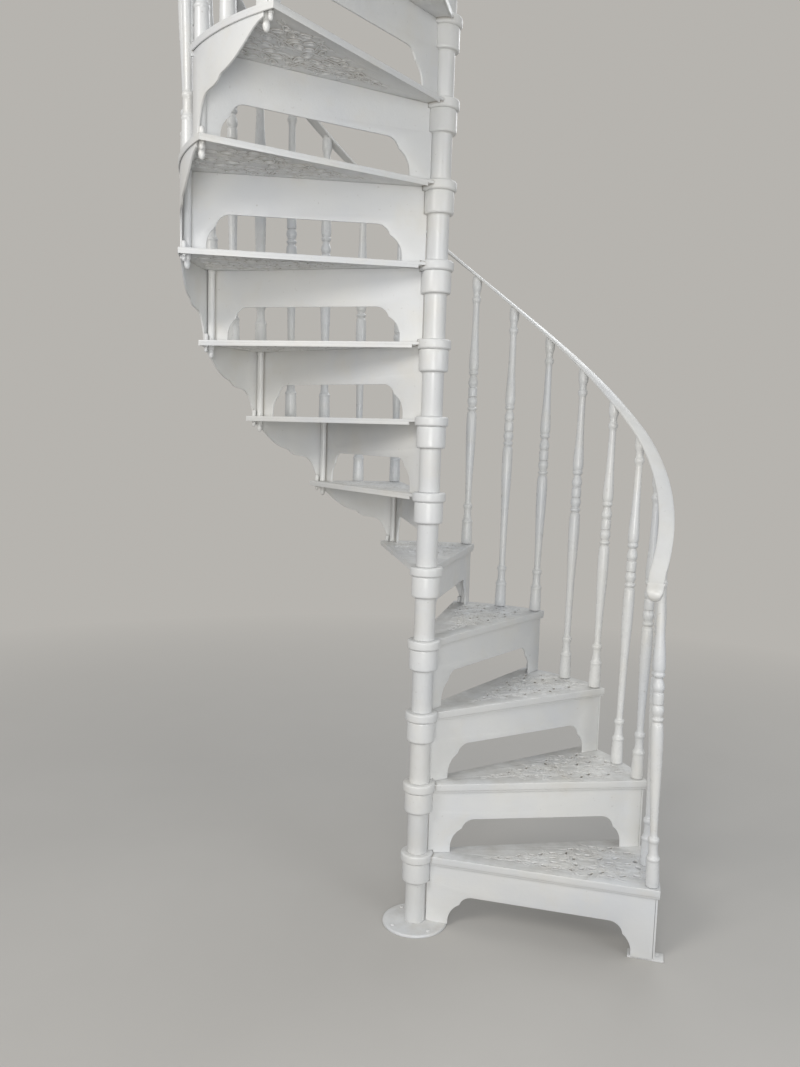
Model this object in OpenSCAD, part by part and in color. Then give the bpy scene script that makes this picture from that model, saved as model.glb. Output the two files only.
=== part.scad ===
// Victorian-pattern cast-iron spiral staircase, painted. Millimetres, z up.
// Origin: underside of the base plate on the pole's axis. The first riser lies along +X and the
// stair climbs anticlockwise seen from above.

/* [Flight] */
rise = 210;            // tread top to tread top
step_angle = 22.5;     // sixteen steps to a full turn
n_steps = 12;          // treads below the landing

/* [Plan] */
tread_r = 688;         // outer edge of a tread
nosing = 10;           // tread front edge ahead of the riser face
hub_lap = 30;          // tread behind the next riser's face, at the hub
rear_lap = 55;         // and at the outer edge
landing_margin = 12;   // square landing beyond the treads' circle

/* [Castings] */
plate_t = 8;
lip_h = 27;
rim_h = 16;
rim_t = 4;
panel_t = 6;
boss_r = 11.5;         // boss that takes a baluster's bolt
wing_t = 5;
wing_gap = 0.6;        // wing inside the tread's rim
riser_gap = 0.9;       // riser's outer end inside the wing
wing_end = 22;         // wing runs this far past the next riser's line
clip_r = 6.5;          // boss at the wing's foot
clip_s = 34;           // from the riser's line
arch_in = 98;          // inner foot of the riser's arch
arch_post = 59.5;      // solid post between the arch and the riser's outer end
foot_lobe = 62;
shoulder_lobe = 38;
shoulder_up = 60;
flange_in = 67.5;      // floor flange of the lowest riser, inward of the riser's end
flange_out = 30.5;     // and outward
flange_w = 40;
flange_t = 6;
flange_hole_r = 3.5;
angle_h = 52;          // landing's edge angle
angle_t = 6;

/* [Hub] */
pole_r = 21;
pole_wall = 5;
bore_r = 21.25;
sleeve_r = 30;
collar_r = 41;
eye_r = 47;
eye_up = 8;            // eye stands above the tread
eye_down = 19;         // and hangs below its top
collar_h = 60;
base_r = 95;
base_t = 8;

/* [Rail and balusters] */
rail_w = 43;           // flat handrail, edge to edge
rail_edge = 5;         // its thickness at the edges
rail_crown = 4;        // and the crown's rise above them
rail_z0 = 1122;        // rail centre above the floor at riser 1
rail_out = 22;         // rail's path outside the circle of the balusters' feet
draw_in = 58;          // the path's draw toward the pole at its lower end
draw_from = 36;        // draw begins here, degrees
draw_to = -4;          // and is whole here
rail_start = -9.2;     // tip of the lower end, degrees
knob_drop = 31;        // rolled lower end below the rail's underside
guard_h = 900;         // rail centre above the landing
knuckle_front = 468;
knuckle_mid = 562;
front_a = 1.25;        // front baluster behind its riser's line, degrees
mid_a = 12.5;          // middle baluster, degrees
rail_seg = 3.75;       // one rail facet ring every this many degrees
head_gap = 0.25;       // baluster heads below the rail

wing_r1 = tread_r - rim_t - wing_gap;
wing_r0 = wing_r1 - wing_t;
riser_r = wing_r0 - riser_gap;
baluster_r = riser_r - boss_r;
rail_path_r = baluster_r + rail_out;
landing_size = tread_r + landing_margin;
clip_a = clip_s / wing_r0 * 180 / PI;
top_z = (n_steps + 1) * rise;
slope = rise / step_angle;                             // rail climb per degree
guard_z = top_z + guard_h;
iron = [0.90, 0.90, 0.87];

// Places its children at step k: local +X runs out along the riser, +Y is the way up the stair.
module at_step(k) {
  rotate([0, 0, (k - 1) * step_angle]) translate([0, 0, k * rise]) children();
}

module ring_cut(r0, r1, h) {
  difference() {
    cylinder(r = r1, h = h, $fn = 96);
    translate([0, 0, -1]) cylinder(r = r0, h = h + 2, $fn = 96);
  }
}

// Hub and base

module base_plate() {
  color(iron) difference() {
    union() {
      cylinder(r1 = base_r, r2 = base_r - 2, h = base_t, $fn = 96);
      cylinder(r = pole_r - pole_wall - 0.2, h = 70, $fn = 64);
    }
    for (a = [45, 135, 225, 315])
      rotate([0, 0, a]) translate([75, 0, -1]) cylinder(r = 4, h = base_t + 2, $fn = 32);
  }
}

module centre_pole() {
  color(iron) translate([0, 0, base_t]) ring_cut(pole_r - pole_wall, pole_r, guard_z + 40 - base_t);
}

// A sleeve with its collar at the head, chamfered below.
module hub_sleeve(z0, z1) {
  head = z1 - collar_h;
  color(iron) translate([0, 0, z0]) rotate_extrude($fn = 96)
    polygon([[bore_r, 0], [sleeve_r, 0], [sleeve_r, head - z0], [collar_r - 4, head - z0],
             [collar_r, head - z0 + 5], [collar_r, z1 - z0], [bore_r, z1 - z0]]);
}

module hub_sleeves() {
  for (k = [1 : n_steps + 1])
    hub_sleeve(k == 1 ? base_t : (k - 1) * rise + eye_up, k * rise - eye_down);
}

module newel_sleeve() {
  hub_sleeve(top_z + eye_up, guard_z + 30);
}

module newel_finial() {
  color(iron) translate([0, 0, guard_z + 30]) rotate_extrude($fn = 96)
    polygon([[0, 10], [bore_r, 10], [bore_r, 0], [eye_r - 6, 0], [eye_r - 2, 4], [eye_r - 2, 8],
             [36, 12], [20, 14], [17, 22], [20, 28], [29, 36], [35, 48], [36, 58], [33, 70],
             [25, 80], [14, 86], [5, 89], [0, 89]]);
}

// Tread

// Plan of a step from y0 at its front to its rear lap, which widens outwards. inset draws the rear in.
module wedge_2d(y0, inset) {
  c = cos(step_angle);
  s = sin(step_angle);
  far = 1.3 * tread_r;
  a = hub_lap - inset;
  b = hub_lap + 1.3 * (rear_lap - hub_lap) - inset;
  polygon([[0, y0], [far, y0], [far * c - b * s, far * s + b * c], [-a * s, a * c]]);
}

module tread_outline_2d() {
  intersection() {
    circle(r = tread_r, $fn = 256);
    wedge_2d(-nosing, 0);
  }
}

// A drop-shaped hole: a round of radius r drawn out over the length l to one of radius t.
module drop_2d(r, l, t) {
  f = acos((r - t) / l);
  polygon(concat([for (i = [0:4]) [r * cos(f + (180 - f) * i / 2) - l / 2, r * sin(f + (180 - f) * i / 2)]],
                 [for (i = [-1:1]) [l / 2 + t * cos(f * i), t * sin(f * i)]]));
}

// Openings between the scrolls and leaves:
// [distance from the pole, degrees from the pattern's middle line, turn, length, radius, end radius]
MIDDLE_HOLES = [[230, 0, 180, 8, 5.4, 2.6], [268, 0, 0, 9, 3.6, 2], [318, 0, 180, 13, 4.6, 2.2],
                [425, 0, 0, 15, 5.2, 2.4], [558, 0, 180, 15, 6, 2.6], [612, 0, 0, 11, 4.4, 2.6]];
PAIRED_HOLES = [[298, 3.4, 28, 10, 4, 2.2], [340, 4.3, -24, 9, 4.8, 3], [368, 6, 42, 10, 5.4, 2.6],
                [400, 2.1, 12, 15, 4.8, 2.2], [404, 6.6, -16, 14, 4.4, 2.2], [446, 7, 64, 9, 4.6, 3],
                [460, 2.5, 82, 10, 6.6, 3.6], [477, 5.2, -34, 9, 5.2, 3.4], [506, 4.8, 16, 10, 6.6, 3.8],
                [500, 8.3, -52, 13, 4.4, 2.4], [531, 6.4, -42, 14, 4.8, 2.4], [538, 2.8, 36, 14, 5, 2.4],
                [556, 8.6, 22, 13, 5, 2.6], [590, 7.4, -28, 14, 5.2, 2.6], [586, 3.3, 22, 15, 5.6, 2.6],
                [628, 6.6, 6, 14, 5, 4], [638, 1.9, 74, 8, 7.4, 4.6]];
REAR_HOLES = [[466, 10, 20, 12, 4.4, 2.4], [534, 10.8, -20, 12, 5, 2.6], [588, 10, 24, 12, 4.8, 2.6]];
pattern_a = 12;        // middle line of the pattern, degrees behind the riser's line

module hole_2d(p, side) {
  rotate([0, 0, side * p[1]]) translate([p[0], 0]) rotate([0, 0, side * p[2]]) drop_2d(p[4], p[3], p[5]);
}

module piercing_2d() {
  for (p = MIDDLE_HOLES) hole_2d(p, 1);
  for (p = PAIRED_HOLES) {
    hole_2d(p, 1);
    hole_2d(p, -1);
  }
}

module tread_piercing_2d() {
  rotate([0, 0, pattern_a]) {
    piercing_2d();
    for (p = REAR_HOLES) hole_2d(p, 1);
  }
}

module tread() {
  lip = lip_h;
  color(iron) difference() {
    union() {
      translate([0, 0, -plate_t]) linear_extrude(plate_t) difference() {
        tread_outline_2d();
        tread_piercing_2d();
      }
      // front nosing lip
      translate([0, 0, -lip]) linear_extrude(lip) intersection() {
        circle(r = tread_r, $fn = 256);
        translate([collar_r + 1, -nosing]) square([tread_r, nosing]);
      }
      // rim along the outer edge
      translate([0, 0, -rim_h]) linear_extrude(rim_h) difference() {
        tread_outline_2d();
        circle(r = tread_r - rim_t, $fn = 256);
      }
      // rim along the rear edge
      translate([0, 0, -rim_h]) linear_extrude(rim_h) difference() {
        tread_outline_2d();
        wedge_2d(-50, rim_t);
        circle(r = 36, $fn = 64);
      }
      translate([0, 0, -eye_down]) cylinder(r = eye_r, h = eye_down + eye_up, $fn = 96);
    }
    translate([0, 0, -60]) cylinder(r = bore_r, h = 100, $fn = 96);
  }
}

module tread_n(k) {
  at_step(k) tread();
}

// Riser

// The cusped arch, heights measured from the panel's foot.
module arch_2d() {
  out = riser_r - arch_post;
  x0 = arch_in + foot_lobe;
  x1 = out - foot_lobe;
  translate([x0 + 8, -5]) square([x1 - x0 - 8, shoulder_up + shoulder_lobe + 5]);
  translate([x1, shoulder_up]) circle(r = shoulder_lobe, $fn = 64);
  translate([x1, 16]) circle(r = foot_lobe, $fn = 64);
  translate([x0 + 8, shoulder_up]) circle(r = shoulder_lobe, $fn = 64);
  translate([x0, 16]) circle(r = foot_lobe, $fn = 64);
  translate([arch_in, -50]) square([out - arch_in, 60]);
}

// Panel outline: x out from the pole's axis, y up from the tread or floor it stands on.
module panel_2d(foot) {
  h = rise - plate_t;
  difference() {
    polygon([[eye_r + 0.5, foot], [eye_r + 0.5, eye_up + 0.5], [sleeve_r + 3, eye_up + 0.5],
             [sleeve_r + 3, rise - eye_down - collar_h - 2], [collar_r + 0.3, rise - eye_down - collar_h],
             [collar_r + 0.3, rise - eye_down - 0.4], [eye_r + 0.3, rise - eye_down - 0.4],
             [eye_r + 0.3, h], [riser_r, h], [riser_r, 0], [300, 0], [300, foot]]);
    arch_2d();
  }
}

module riser(foot) {
  color(iron) {
    translate([0, panel_t, 0]) rotate([90, 0, 0]) linear_extrude(panel_t) panel_2d(foot);
    // boss that takes the baluster's bolt
    rotate([0, 0, front_a]) translate([baluster_r, 0, 0])
      cylinder(r = boss_r, h = rise - plate_t, $fn = 48);
  }
}

module riser_n(k) {
  at_step(k) translate([0, 0, -rise]) riser(0);
}

// The lowest riser stands on the base plate and on a floor flange.
module riser_01() {
  color(iron) difference() {
    union() {
      riser(base_t);
      translate([riser_r - flange_in, 0, 0]) cube([flange_in + flange_out, flange_w, flange_t]);
    }
    for (x = [22 - flange_in, flange_out - 18])
      translate([riser_r + x, flange_w - 10, -1]) cylinder(r = flange_hole_r, h = flange_t + 2, $fn = 32);
  }
}

// Outer wing

// Cusped profile as shares of the wing's run and height: a cove at the foot, a cusp, then a long ogee.
PROFILE = [[0, 0], [0.112, 0], [0.114, 0.03], [0.122, 0.10], [0.138, 0.17], [0.160, 0.24],
           [0.186, 0.305], [0.216, 0.355], [0.252, 0.39], [0.292, 0.408], [0.336, 0.416],
           [0.388, 0.425], [0.432, 0.442], [0.466, 0.468], [0.492, 0.505], [0.512, 0.520],
           [0.552, 0.535], [0.610, 0.562], [0.672, 0.603], [0.735, 0.660], [0.795, 0.722],
           [0.850, 0.788], [0.900, 0.848], [0.950, 0.893], [1, 0.920], [1, 1], [0, 1]];

module wing() {
  h = rise - plate_t;
  run = wing_r1 * step_angle * PI / 180 + wing_end;
  half = run / 2 / wing_r1 * 180 / PI;
  chord = 2 * wing_r1 * sin(half);
  near = wing_r0 * cos(half) - 6;
  color(iron) union() {
    intersection() {
      ring_cut(wing_r0, wing_r1, h);
      rotate([0, 0, half]) translate([0, -chord / 2, 0]) rotate([90, 0, 90]) translate([0, 0, near])
        linear_extrude(wing_r1 - near + 6) polygon([for (p = PROFILE) [p[0] * chord, p[1] * h]]);
      linear_extrude(h) wedge_2d(0.3, rim_t + 0.3);
    }
    // boss at the foot, bolted through the rear corner of the tread below
    rotate([0, 0, clip_a]) translate([wing_r0 + 1.5 - clip_r, 0, 0]) cylinder(r = clip_r, h = 20, $fn = 32);
  }
}

// The lowest wing stands on the floor flange.
module outer_wings() {
  difference() {
    wing();
    translate([0, 0, -1]) cylinder(r = 2 * tread_r, h = flange_t + 1);
  }
  for (k = [2 : n_steps])
    at_step(k) translate([0, 0, -rise]) wing();
}

// Domed nut hanging l below a tread, turned round its bolt's axis.
module nut(r, l) {
  color(iron) translate([0, 0, -plate_t - l]) rotate_extrude($fn = 48)
    polygon([[0, 0], [0.32 * r, 0.6], [0.63 * r, 0.12 * l], [0.86 * r, 0.28 * l], [0.9 * r, 0.4 * l],
             [0.74 * r, 0.52 * l], [r, 0.62 * l], [r, l], [0, l]]);
}

// Under each tread's rear outer corner: a long nut on the bolt of the baluster above, and a short
// one on the bolt of the next wing's foot.
module corner_nuts() {
  for (k = [1 : n_steps]) {
    at_step(k) rotate([0, 0, step_angle + front_a]) translate([baluster_r, 0, 0]) nut(9.5, 41);
    if (k < n_steps)
      at_step(k) rotate([0, 0, step_angle + clip_a]) translate([wing_r0 + 1.5 - clip_r, 0, 0]) nut(6.8, 25);
  }
}

// Balusters

// Turned outline up to height h; the knuckle sits at height n. The foot runs down past 0 by low
// and the head up past h by high, for cutting.
function turned(n, h, low, high) = [
  [0, -low], [19, -low], [18.6, 30], [17.2, 70], [17.2, 74], [18.6, 77], [18.6, 82], [16, 85],
  [13.4, 92], [12.2, 110], [13, 124], [15.6, 129], [16.2, 134], [15, 139], [10.8, 142],
  [10.2, 150], [12.4, n - 225], [16.2, n - 130], [17.4, n - 80], [17.6, n - 35], [16, n - 10],
  [11.2, n - 4], [14.6, n], [16.6, n + 3], [16.6, n + 7], [11.4, n + 11], [13.2, n + 16],
  [16.4, n + 24], [17.2, n + 32], [15.2, n + 40], [12, n + 45], [15.4, n + 47], [15.4, n + 76],
  [12, n + 79], [15, n + 85], [17, n + 92], [15, n + 104], [11, n + 114], [10.4, n + 118],
  [14.6, n + 122], [16.4, n + 126], [16.4, n + 130], [13.6, n + 134], [16.6, n + 142],
  [17.2, n + 160], [15.8, n + 190], [13.2, n + 228], [11.6, n + 280], [10.6, h - 90],
  [14.8, h - 81], [15.5, h - 76], [14.8, h - 71], [11, h - 66], [11.2, h - 52], [15, h - 41],
  [16.4, h - 33], [16.4, h + high], [0, h + high]];

module baluster(n, h, low = 0, high = 0) {
  color(iron) rotate_extrude($fn = 48) polygon(turned(n, h, low, high));
}

// The rail's path draws in toward the pole over the first steps, and the balusters lean to meet it.
function path(a) = rail_path_r
  - draw_in * pow(max(0, min(1, (draw_from - a) / (draw_from - draw_to))), 1.4);
function pitch(a) = atan(slope * 180 / PI / path(a));

// A baluster at angle a, cut to the underside of the sloping rail. z is the rail's centre above
// its foot.
module leaning_baluster(n, a, z) {
  difference() {
    rotate([0, atan((path(a) - baluster_r) / z), 0]) baluster(n, z, 1, 14);
    translate([-60, -60, -20]) cube([120, 120, 20]);
    translate([0, 0, z]) rotate([pitch(a), 0, 0])
      translate([-90, -90, -rail_edge / 2 - head_gap]) cube([180, 180, 200]);
  }
}

module front_balusters() {
  for (k = [1 : n_steps + 1])
    at_step(k) rotate([0, 0, front_a]) translate([baluster_r, 0, 0])
      leaning_baluster(knuckle_front, (k - 1) * step_angle + front_a, rail_z0 - rise + slope * front_a);
}

module middle_balusters() {
  for (k = [1 : n_steps])
    at_step(k) rotate([0, 0, mid_a]) translate([baluster_r, 0, 0])
      leaning_baluster(knuckle_mid, (k - 1) * step_angle + mid_a, rail_z0 - rise + slope * mid_a);
}

// Handrail: a flat bar with a crowned top swept up the helix, its lower end rolled under.

first_ring = front_a - rail_seg / 2;
n_rings = 2 + floor((n_steps * step_angle) / rail_seg);
end_a = first_ring + (n_rings - 1) * rail_seg;

// Section of half width w, crown c and belly b, lowered by d.
function section(w, c, b, d) = concat(
  [for (i = [0 : 6]) [w * cos(i * 30), rail_edge / 2 - d + c * sin(i * 30)]],
  [for (i = [0 : 6]) [-w * cos(i * 30), -rail_edge / 2 - d - b * sin(i * 30)]]);

// Rolled end: [degrees from the tip, share of half width, crown, share of the drop, lowering]
ROLL = [[0, 0.28, 1.5, 0.16, 13], [0.1, 0.55, 4, 0.35, 11], [0.35, 0.8, 6.5, 0.58, 8],
        [0.8, 0.94, 7, 0.81, 4], [1.3, 1, 6, 0.97, 1.5], [1.9, 1, 5, 1, 0.5], [2.45, 1, 4.6, 0.84, 0],
        [2.6, 1.1, 4.8, 0.74, 0], [2.85, 1.1, 4.8, 0.6, 0], [3, 0.97, 4, 0.4, 0],
        [3.2, 0.96, 4, 0.14, 0], [3.35, 0.96, 4, 0, 0], [5.2, 1, 4, 0, 0]];

half_w = rail_w / 2;
stations = concat(
  [for (p = ROLL) [rail_start + p[0], section(p[1] * half_w, p[2], p[3] * knob_drop, p[4])]],
  [for (i = [0 : n_rings - 1]) [first_ring + i * rail_seg, section(half_w, rail_crown, 0, 0)]],
  [[end_a + 1, section(half_w, rail_crown, 0, 0)], [end_a + 1.8, section(0.8 * half_w, rail_crown, 0, 0)],
   [end_a + 2.1, section(0.4 * half_w, rail_crown * 0.8, 0, 0)]]);

// A section's points carried to angle a on the path.
function ring(a, points) = let (r = path(a), p = pitch(a)) [for (q = points)
  [(r + q[0]) * cos(a) + q[1] * sin(p) * sin(a), (r + q[0]) * sin(a) - q[1] * sin(p) * cos(a),
   rail_z0 + slope * a + q[1] * cos(p)]];

module handrail() {
  n = len(stations);
  m = len(stations[0][1]);
  points = [for (s = stations) each ring(s[0], s[1])];
  faces = concat(
    [[for (i = [0 : m - 1]) i]],
    [for (j = [0 : n - 2]) for (i = [0 : m - 1])
      [j * m + i, (j + 1) * m + (i + 1) % m, j * m + (i + 1) % m]],
    [for (j = [0 : n - 2]) for (i = [0 : m - 1])
      [j * m + i, (j + 1) * m + i, (j + 1) * m + (i + 1) % m]],
    [[for (i = [m - 1 : -1 : 0]) (n - 1) * m + i]]);
  color(iron) polyhedron(points = points, faces = faces);
}

// Landing: local +X runs out along its front edge, +Y to the far edge that carries the guard.

module landing() {
  e = landing_size;
  color(iron) at_step(n_steps + 1) difference() {
    union() {
      translate([0, 0, -plate_t]) linear_extrude(plate_t) difference() {
        translate([-hub_lap, -nosing]) square([e + hub_lap, e + nosing]);
        for (i = [0 : 3]) rotate([0, 0, (i + 0.5) * step_angle]) piercing_2d();
      }
      translate([collar_r + 1, -nosing, -lip_h]) cube([e - collar_r - 1, nosing, lip_h]);
      translate([-hub_lap, -nosing, -rim_h]) cube([rim_t, e + nosing, rim_h]);
      translate([0, 0, -eye_down]) cylinder(r = eye_r, h = eye_down + eye_up, $fn = 96);
    }
    translate([0, 0, -60]) cylinder(r = bore_r, h = 100, $fn = 96);
  }
}

// Bars under the landing's two outer edges, bolted to the upper floor.
module landing_angles() {
  e = landing_size;
  z = -plate_t - angle_h / 2 - 2;
  color(iron) at_step(n_steps + 1) difference() {
    union() {
      translate([e - angle_t, 0.3, -plate_t - angle_h]) cube([angle_t, e - angle_t - 0.6, angle_h]);
      translate([rim_t + 0.3 - hub_lap, e - angle_t, -plate_t - angle_h])
        cube([e + hub_lap - rim_t - 0.3, angle_t, angle_h]);
    }
    for (d = [120, e - 120]) {
      translate([e - 10, d, z]) rotate([0, 90, 0]) cylinder(r = 6.5, h = 20, $fn = 32);
      translate([d, e + 10, z]) rotate([90, 0, 0]) cylinder(r = 6.5, h = 20, $fn = 32);
    }
  }
}

module landing_balusters() {
  first = 150;
  pitch = (landing_size - 26 - first) / 4;
  for (i = [0 : 4])
    at_step(n_steps + 1) translate([0, first + i * pitch, 0]) baluster(knuckle_front, guard_h - rail_edge / 2);
}

module landing_rail() {
  l = landing_size - 2;
  color(iron) at_step(n_steps + 1) translate([0, 0, guard_h]) difference() {
    intersection() {
      rotate([90, 0, 180]) linear_extrude(l + half_w) polygon(section(half_w, rail_crown, 0, 0));
      translate([0, 0, -20]) linear_extrude(40) union() {
        translate([-half_w, 0]) square([rail_w, l]);
        translate([0, l]) circle(r = half_w, $fn = 48);
      }
    }
    translate([0, 0, -100]) cylinder(r = collar_r + 0.1, h = 200, $fn = 96);
  }
}

module tread_01() tread_n(1);
module tread_02() tread_n(2);
module tread_03() tread_n(3);
module tread_04() tread_n(4);
module tread_05() tread_n(5);
module tread_06() tread_n(6);
module tread_07() tread_n(7);
module tread_08() tread_n(8);
module tread_09() tread_n(9);
module tread_10() tread_n(10);
module tread_11() tread_n(11);
module tread_12() tread_n(12);
module riser_02() riser_n(2);
module riser_03() riser_n(3);
module riser_04() riser_n(4);
module riser_05() riser_n(5);
module riser_06() riser_n(6);
module riser_07() riser_n(7);
module riser_08() riser_n(8);
module riser_09() riser_n(9);
module riser_10() riser_n(10);
module riser_11() riser_n(11);
module riser_12() riser_n(12);
module riser_13() riser_n(13);

base_plate();
centre_pole();
hub_sleeves();
newel_sleeve();
newel_finial();
tread_01();
tread_02();
tread_03();
tread_04();
tread_05();
tread_06();
tread_07();
tread_08();
tread_09();
tread_10();
tread_11();
tread_12();
landing();
landing_angles();
riser_01();
riser_02();
riser_03();
riser_04();
riser_05();
riser_06();
riser_07();
riser_08();
riser_09();
riser_10();
riser_11();
riser_12();
riser_13();
outer_wings();
corner_nuts();
front_balusters();
middle_balusters();
handrail();
landing_balusters();
landing_rail();
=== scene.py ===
"""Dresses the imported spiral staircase: castings, turned work, rail, paint, floor, light and camera.

Shapes are drawn in millimetres in a step's own frame: x out along the riser, y the way up the stair,
z up from the tread's top. They are then placed step by step in the row frame, in metres.
"""
import math

import bmesh
import bpy
from mathutils import Matrix, Vector


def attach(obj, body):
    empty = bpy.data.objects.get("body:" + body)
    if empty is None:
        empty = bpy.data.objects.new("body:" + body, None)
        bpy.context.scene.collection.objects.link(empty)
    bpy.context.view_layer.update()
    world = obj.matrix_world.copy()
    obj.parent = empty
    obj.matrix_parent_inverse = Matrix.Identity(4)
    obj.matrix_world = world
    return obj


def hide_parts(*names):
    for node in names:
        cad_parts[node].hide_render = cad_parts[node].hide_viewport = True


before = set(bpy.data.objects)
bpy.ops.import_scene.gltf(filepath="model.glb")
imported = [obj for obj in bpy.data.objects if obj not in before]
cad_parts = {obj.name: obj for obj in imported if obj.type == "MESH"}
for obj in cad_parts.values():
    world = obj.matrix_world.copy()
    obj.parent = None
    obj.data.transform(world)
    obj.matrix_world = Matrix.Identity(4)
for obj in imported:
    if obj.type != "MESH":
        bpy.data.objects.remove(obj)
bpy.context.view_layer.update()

# Sizes shared with the solids, in millimetres and degrees
RISE = 210
STEP = 22.5
N_STEPS = 12
TREAD_R = 688
NOSING = 10
HUB_LAP = 30  # tread behind the next riser's line, at the hub
REAR_LAP = 55  # and at the outer edge
PATTERN_A = 12  # the pattern's middle line behind the riser's
PLATE_T = 8
LIP_H = 27
RIM_H = 16
RIM_T = 4
PANEL_T = 6
BOSS_R = 11.5
WING_T = 5
WING_GAP = 0.6
RISER_GAP = 0.9
WING_END = 22  # a wing runs this far past the next riser's line
CLIP_R = 6.5  # lug at a wing's foot
CLIP_S = 34  # and its way from the riser's line
ARCH_IN = 98
ARCH_POST = 59.5
FOOT_LOBE = 62  # the arch's lower lobes, and their height
FOOT_UP = 16
SHOULDER_LOBE = 38  # its upper lobes, their height, and the inner one's shift
SHOULDER_UP = 60
SHOULDER_IN = 8
FLANGE_T = 6  # floor flange of the lowest riser, inward and outward of the riser's end
FLANGE_IN = 67.5
FLANGE_OUT = 30.5
FLANGE_W = 40
BORE_R = 21.25
SLEEVE_R = 30
COLLAR_R = 41
COLLAR_H = 60
EYE_R = 47
EYE_UP = 8
EYE_DOWN = 19
BASE_R = 95
BASE_T = 8
BASE_BOLTS_R = 75
LONG_NUT = (9.5, 41)  # radius and length
SHORT_NUT = (6.6, 25)
FRONT_A = 1.25  # front and middle balusters behind the riser's line
MID_A = 12.5
KNUCKLE_FRONT = 468
KNUCKLE_MID = 562
RAIL_W = 42.8
RAIL_EDGE = 5
RAIL_CROWN = 4
RAIL_OUT = 22  # the rail's path outside the balusters' feet
RAIL_Z0 = 1122  # the rail's middle above the floor at the first riser
RAIL_START = -9.2
DRAW_IN = 58  # the path's draw toward the pole, from and to these angles
DRAW_FROM = 36
DRAW_TO = -4
KNOB_DROP = 31
LANDING_MARGIN = 12
ANGLE_H = 52
ANGLE_T = 6
ANGLE_GAP = 0.3
GUARD_H = 900
GUARD_FIRST = 150
GUARD_LAST = 674
INSIDE = 0.1  # faces kept inside the solids' own
SEAT = 0.3  # a baluster's head runs this far into the rail

LANDING = TREAD_R + LANDING_MARGIN
WING_R1 = TREAD_R - RIM_T - WING_GAP
WING_R0 = WING_R1 - WING_T
RISER_R = WING_R0 - RISER_GAP
BALUSTER_R = RISER_R - BOSS_R
RAIL_PATH = BALUSTER_R + RAIL_OUT
SLOPE = RISE / STEP
TOP_Z = (N_STEPS + 1) * RISE
STEPS = range(1, N_STEPS + 1)


# Shape building: a shape is a pair of lists, corner points and faces


def joined(*shapes):
    points = []
    faces = []
    for p, f in shapes:
        base = len(points)
        points += p
        faces += [tuple(i + base for i in face) for face in f]
    return points, faces


def moved(shape, matrix):
    return [tuple(matrix @ Vector(p)) for p in shape[0]], shape[1]


def shifted(shape, x, y, z):
    return [(p[0] + x, p[1] + y, p[2] + z) for p in shape[0]], shape[1]


def turned_by(shape, degrees):
    return moved(shape, Matrix.Rotation(math.radians(degrees), 4, "Z"))


def skin(rows, closed_rows=True, closed_ends=False, caps=False):
    """Quads between rows of points. Each row is a ring; the ends can be capped or joined."""
    points = [p for row in rows for p in row]
    n = len(rows[0])
    last = len(rows)
    faces = []
    for j in range(last if closed_ends else last - 1):
        a = j * n
        b = ((j + 1) % last) * n
        for i in range(n if closed_rows else n - 1):
            k = (i + 1) % n
            faces.append((a + i, a + k, b + k, b + i))
    if caps:
        faces.append(tuple(range(n)))
        faces.append(tuple(range((last - 1) * n, last * n)))
    return points, faces


def arc(r, n, cx=0.0, cy=0.0, start=0.0, end=360.0):
    """Points on a circle's arc, in degrees, with n parts."""
    step = math.radians(end - start) / n
    a = math.radians(start)
    return [(cx + r * math.cos(a + i * step), cy + r * math.sin(a + i * step)) for i in range(n + 1)]


def softened(points, cut, loop=False):
    """Rounds each corner of an outline by a short curve of at most that reach."""
    out = [] if loop else [points[0]]
    n = len(points)
    for i in range(0 if loop else 1, n if loop else n - 1):
        p = Vector(points[i])
        a = Vector(points[i - 1]) - p
        b = Vector(points[(i + 1) % n]) - p
        d = min(cut, 0.42 * a.length, 0.42 * b.length)
        start = p + a.normalized() * d
        end = p + b.normalized() * d
        mid = 0.25 * start + 0.5 * p + 0.25 * end
        out += [tuple(start), tuple(mid), tuple(end)]
    if not loop:
        out.append(points[-1])
    return out


def lathe(profile, sides, loop=False):
    """Turns an outline of (radius, height) about the z axis."""
    rows = []
    for r, z in profile:
        rows.append([(max(r, 0.02) * math.cos(2 * math.pi * i / sides),
                      max(r, 0.02) * math.sin(2 * math.pi * i / sides), z) for i in range(sides)])
    return skin(rows, closed_ends=loop, caps=not loop)


def bar(profile, x0, x1):
    """Runs an outline of (y, z) from x0 to x1."""
    return skin([[(x, y, z) for y, z in profile] for x in (x0, x1)], caps=True)


def arc_bar(profile, a0, a1, n):
    """Sweeps an outline of (radius, z) round the z axis, in degrees."""
    rows = []
    for i in range(n + 1):
        a = math.radians(a0 + (a1 - a0) * i / n)
        rows.append([(r * math.cos(a), r * math.sin(a), z) for r, z in profile])
    return skin(rows, caps=True)


def box(x0, x1, y0, y1, z0, z1):
    return bar([(y0, z0), (y1, z0), (y1, z1), (y0, z1)], x0, x1)


def bevelled(shape, width):
    """Rounds the sharp edges of a closed shape."""
    mesh = bmesh.new()
    points = [mesh.verts.new(p) for p in shape[0]]
    for face in shape[1]:
        mesh.faces.new([points[i] for i in face])
    bmesh.ops.recalc_face_normals(mesh, faces=mesh.faces[:])
    limit = math.radians(35)
    edges = [e for e in mesh.edges if len(e.link_faces) == 2 and e.calc_face_angle() > limit]
    bmesh.ops.bevel(mesh, geom=edges, offset=width, segments=2, profile=0.6,
                    affect="EDGES", clamp_overlap=True)
    mesh.verts.index_update()
    out = [tuple(v.co) for v in mesh.verts], [tuple(v.index for v in f.verts) for f in mesh.faces]
    mesh.free()
    return out


def area(loop):
    return 0.5 * sum(a[0] * b[1] - b[0] * a[1] for a, b in zip(loop, loop[1:] + loop[:1]))


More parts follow.
